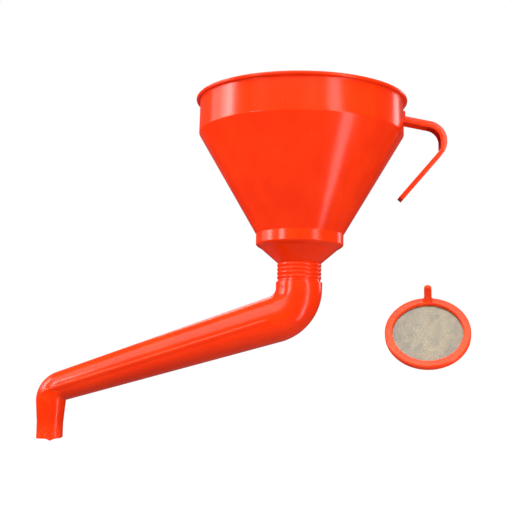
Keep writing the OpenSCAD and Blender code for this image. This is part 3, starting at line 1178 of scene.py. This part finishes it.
@dataclass
class Strainer:
    """The loose strainer: a moulded ring with a lifting tab, and brass gauze held in its foot."""

    tilt: float = 57.8
    turn: float = -9.4
    frame_r: float = 30.8 * MM
    frame_w: float = 5.4 * MM
    frame_h: float = 5.0 * MM
    gauze_z: float = 1.3 * MM
    gauze_t: float = 0.5 * MM
    gauze_hold: float = 0.9 * MM
    tab_h: float = 16.4 * MM
    tab_w: float = 5.4 * MM
    tab_t: float = 2.4 * MM
    wire_pitch: float = 0.70 * MM
    wire_r: float = 0.17 * MM
    wire_held: float = 0.6
    crimp: float = 0.95
    points_per_wire: float = 2.5
    tab_edge: float = 0.45 * MM
    tab_sink: float = 0.4 * MM
    tab_flare: Point = (1.35, 1.9, 1)
    ring_finish: MouldedPolyethylene = field(
        default_factory=lambda: MouldedPolyethylene(
            "satin_orange_strainer", body=(0.88, 0.060, 0.012, 1.0), deep=(0.78, 0.042, 0.008, 1.0),
            roughness=0.27, worn_below=0.001))
    gauze_finish: WovenBrass = field(default_factory=lambda: WovenBrass("tarnished_brass_gauze"))

    def __post_init__(self) -> None:
        """Finds where the strainer lies from its gauze."""
        low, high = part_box("strainer_gauze")
        tilt, turn = math.radians(self.tilt), math.radians(self.turn)
        up = Vector((math.sin(tilt) * math.sin(turn), -math.sin(tilt) * math.cos(turn), math.cos(tilt)))
        self.foot = (low + high) / 2 - up * (self.gauze_z + self.gauze_t / 2)

    def lay_out(self, piece: bpy.types.Object) -> None:
        """Tilts an upright piece and moves it to where the strainer lies."""
        Bench.lay(piece, (self.tilt, 0, self.turn), self.foot)

    def ring(self) -> bpy.types.Object:
        """Turns the ring, with a bevelled foot and a groove round the gauze.

        Returns:
            The ring, upright at the origin.
        """
        inner = self.frame_r - self.frame_w
        edge, groove = 0.8 * MM, 0.25 * MM
        gauze_top = self.gauze_z + self.gauze_t
        corners = [
            Corner(inner + 0.3 * MM, 0, 0.3 * MM),
            Corner(self.frame_r - edge, 0, 0.4 * MM),
            Corner(self.frame_r, edge, 0.4 * MM),
            Corner(self.frame_r, self.frame_h - edge, 0.5 * MM),
            Corner(self.frame_r - edge, self.frame_h, 0.5 * MM),
            Corner(inner + 0.5 * MM, self.frame_h, 0.5 * MM),
            Corner(inner, self.frame_h - 0.5 * MM, 0.3 * MM),
            Corner(inner, gauze_top + groove, 0.1 * MM),
            Corner(inner + groove, gauze_top, 0.1 * MM),
            Corner(inner + groove, self.gauze_z, 0.1 * MM),
            Corner(inner, self.gauze_z - groove, 0.1 * MM),
        ]
        return turned("strainer_ring_moulding", Vector(), rounded(corners, 4), 160)

    def tab(self) -> bpy.types.Object:
        """Models the lifting tab: a tapered blade with a round top and a flared foot.

        Returns:
            The tab, in its place on the upright ring.
        """
        y = self.frame_r - self.frame_w / 2
        foot = 2.4 * MM
        Bench.clear()
        bpy.ops.mesh.primitive_cube_add(size=1, location=(0, y, self.frame_h + foot / 2 - self.tab_sink))
        piece = Bench.name("strainer_tab", (self.tab_w, self.tab_t, foot + 2 * self.tab_sink))
        Bench.edit("FACE")
        Bench.pick_faces(piece, lambda f: f.normal.z > 0.9)
        top = self.frame_h + foot
        rise = self.tab_h - foot - self.tab_w / 2
        bpy.ops.mesh.extrude_region_move(TRANSFORM_OT_translate={"value": (0, 0, rise)})
        half = self.tab_w / 2
        # The top stops just short of a quarter turn, so that it keeps a face.
        steps, full_top = 9, math.pi / 2 * 0.985
        reach, width = 0.0, 1.0
        for i in range(1, steps + 1):
            angle = full_top * i / steps
            bpy.ops.mesh.extrude_region_move(
                TRANSFORM_OT_translate={"value": (0, 0, half * (math.sin(angle) - reach))})
            centre = (0, y, top + rise + half * math.sin(angle))
            bpy.ops.transform.resize(value=(math.cos(angle) / width, 1, 1), center_override=centre)
            reach, width = math.sin(angle), math.cos(angle)
        Bench.pick_faces(piece, lambda f: f.normal.z < -0.9)
        bpy.ops.transform.resize(value=self.tab_flare, center_override=(0, y, self.frame_h))
        bpy.ops.object.mode_set(mode="OBJECT")
        Bench.close(piece)
        Bench.round_edges(piece, self.tab_edge, above=40)
        return piece

    def gauze(self) -> bpy.types.Object:
        """Weaves the gauze, wire over wire, from curves that are cut to the disc.

        Returns:
            The gauze, upright at the origin.
        """
        disc_r = self.frame_r - self.frame_w + self.gauze_hold * self.wire_held
        middle = self.gauze_z + self.gauze_t / 2
        count = int(disc_r / self.wire_pitch)
        weave = bpy.data.curves.new("strainer_gauze_wires", "CURVE")
        weave.dimensions = "3D"
        weave.bevel_depth = self.wire_r
        weave.bevel_resolution = 0
        weave.use_fill_caps = True
        for direction in (0, 1):
            for i in range(-count, count + 1):
                self.wire(weave, direction, i, math.sqrt(disc_r ** 2 - (i * self.wire_pitch) ** 2), middle)
        piece = bpy.data.objects.new("strainer_gauze_wires", weave)
        bpy.context.scene.collection.objects.link(piece)
        Bench.pick(piece)
        bpy.ops.object.convert(target="MESH")
        return bpy.context.object

    def wire(self, weave: bpy.types.Curve, direction: int, row: int, half: float, middle: float) -> None:
        """Adds one wire, which rises over every second wire that it crosses.

        Args:
            weave: The curve that holds all the wires.
            direction: 0 along X, 1 along Y.
            row: Number of the wire from the middle.
            half: Half of its length.
            middle: Height of the gauze's middle.
        """
        if half < self.wire_pitch:
            return
        points = max(4, int(2 * half / self.wire_pitch * self.points_per_wire))
        line = weave.splines.new("POLY")
        line.points.add(points - 1)
        for k in range(points):
            along = -half + 2 * half * k / (points - 1)
            wave = math.cos(math.pi * along / self.wire_pitch) * (1 if row % 2 else -1)
            if direction:
                wave = -wave
            across = row * self.wire_pitch
            height = middle + wave * self.wire_r * self.crimp
            x, y = (across, along) if direction else (along, across)
            line.points[k].co = (x, y, height, 1.0)

    def build(self) -> tuple[bpy.types.Object, bpy.types.Object]:
        """Models the strainer's two pieces and hands them over.

        Returns:
            The ring with its tab, and the gauze.
        """
        ring = Bench.join([self.ring(), self.tab()])
        Bench.smooth(ring)
        self.lay_out(ring)
        hand_over(ring, "strainer", "strainer_frame", self.ring_finish.make())
        gauze = self.gauze()
        self.lay_out(gauze)
        Bench.smooth(gauze, 80)
        hand_over(gauze, "strainer", "strainer_gauze", self.gauze_finish.make())
        return ring, gauze


# ---- Studio ----


@dataclass(frozen=True)
class Softbox:
    """A rectangular light that faces a target."""

    name: str
    place: Point
    target: Point
    width: float
    height: float
    radiance: float
    upwards: Point = (0.0, 0.0, 1.0)

    def hang(self) -> bpy.types.Object:
        """Hangs the light.

        Returns:
            The light.
        """
        lamp = bpy.data.lights.new(self.name, "AREA")
        lamp.shape = "RECTANGLE"
        lamp.size = self.width
        lamp.size_y = self.height
        lamp.energy = self.radiance * math.pi * self.width * self.height
        light = bpy.data.objects.new(self.name, lamp)
        back = (Vector(self.place) - Vector(self.target)).normalized()
        across = Vector(self.upwards).cross(back).normalized()
        turn = Matrix((across, back.cross(across), back)).transposed().to_4x4()
        light.matrix_world = Matrix.Translation(self.place) @ turn
        bpy.context.scene.collection.objects.link(light)
        return light


@dataclass
class Studio:
    """Camera, pale floor, white surround and soft lights."""

    bowl: Bowl
    camera_place: Point = (0.1488, -0.840, 0.0247)
    camera_rise: float = 7.67
    camera_roll: float = 1.1
    lens: float = 79.6
    floor_z: float = -0.36
    floor_size: float = 60.0
    sensor: float = 36.0
    sky: float = 0.13
    floor: StudioPaper = field(default_factory=lambda: StudioPaper("studio_paper"))

    def camera(self) -> None:
        """Sets the camera up in front of the funnel, a little below its bowl."""
        rise, roll = math.radians(self.camera_rise), math.radians(self.camera_roll)
        ahead = Vector((0, math.cos(rise), math.sin(rise)))
        level_up = Vector((0, -math.sin(rise), math.cos(rise)))
        level_right = Vector((1, 0, 0))
        right = level_right * math.cos(roll) + level_up * math.sin(roll)
        up = level_up * math.cos(roll) - level_right * math.sin(roll)
        data = bpy.data.cameras.new("camera")
        data.lens = self.lens
        data.sensor_width = self.sensor
        view = bpy.data.objects.new("camera", data)
        turn = Matrix((right, up, -ahead)).transposed().to_4x4()
        view.matrix_world = Matrix.Translation(self.camera_place) @ turn
        bpy.context.scene.collection.objects.link(view)
        bpy.context.scene.camera = view

    def surround(self) -> None:
        """Lays the floor and whitens the surround."""
        Bench.clear()
        bpy.ops.mesh.primitive_plane_add(size=self.floor_size, location=(self.bowl.axis.x, 0, self.floor_z))
        floor = Bench.name("studio_floor")
        floor.data.materials.append(self.floor.make())
        world = bpy.data.worlds.new("studio_white")
        world.use_nodes = True
        nodes, links = world.node_tree.nodes, world.node_tree.links
        lit, seen = nodes["Background"], nodes.new("ShaderNodeBackground")
        lit.inputs["Color"].default_value = (1.0, 0.99, 0.98, 1.0)
        lit.inputs["Strength"].default_value = self.sky
        seen.inputs["Color"].default_value = (1.0, 1.0, 1.0, 1.0)
        choose, ray = nodes.new("ShaderNodeMixShader"), nodes.new("ShaderNodeLightPath")
        links.new(ray.outputs["Is Camera Ray"], choose.inputs[0])
        links.new(lit.outputs[0], choose.inputs[1])
        links.new(seen.outputs[0], choose.inputs[2])
        links.new(choose.outputs[0], nodes["World Output"].inputs["Surface"])
        bpy.context.scene.world = world

    def lights(self) -> None:
        """Hangs the softboxes round the funnel."""
        x = self.bowl.axis.x
        band = (x, 0.0, 0.24)
        collar = (x, 0.0, 0.15)
        for box in (
            Softbox("key_above", (x - 0.25, -0.78, 1.17), band, 1.6, 1.2, 5.6),
            Softbox("side_left_wide", (x - 0.62, 0.05, 0.34), band, 0.46, 0.30, 3.0),
            Softbox("side_left_middle", (x - 0.60, -0.03, 0.34), band, 0.20, 0.30, 7.0),
            Softbox("side_left_core", (x - 0.58, -0.06, 0.34), band, 0.07, 0.30, 14.0),
            Softbox("strip_right", (0.495, -0.335, 0.115), collar, 0.10, 0.75, 11.0, (0.019, -0.287, 0.455)),
            Softbox("low_left", (x - 0.352, -0.312, 0.215), collar, 0.09, 0.12, 26.0),
            Softbox("back_right", (x + 0.55, 0.36, 0.30), band, 0.16, 0.30, 4.5),
            Softbox("back_above", (x, 0.9, 0.9), band, 0.9, 0.6, 3.0),
        ):
            box.hang()

    def build(self) -> None:
        """Builds the whole studio."""
        self.camera()
        self.surround()
        self.lights()
        bpy.context.scene.view_settings.view_transform = "Standard"


def main() -> None:
    """Builds the funnel piece by piece and sets it in the studio."""
    logging.basicConfig(level=logging.INFO, format="%(name)s: %(message)s")
    bowl = Bowl()
    Studio(bowl).build()
    bowl.build()
    Handle(bowl).build()
    SealRing().build()
    OffsetSpout().build()
    Strainer().build()


if __name__ == "__main__":
    main()
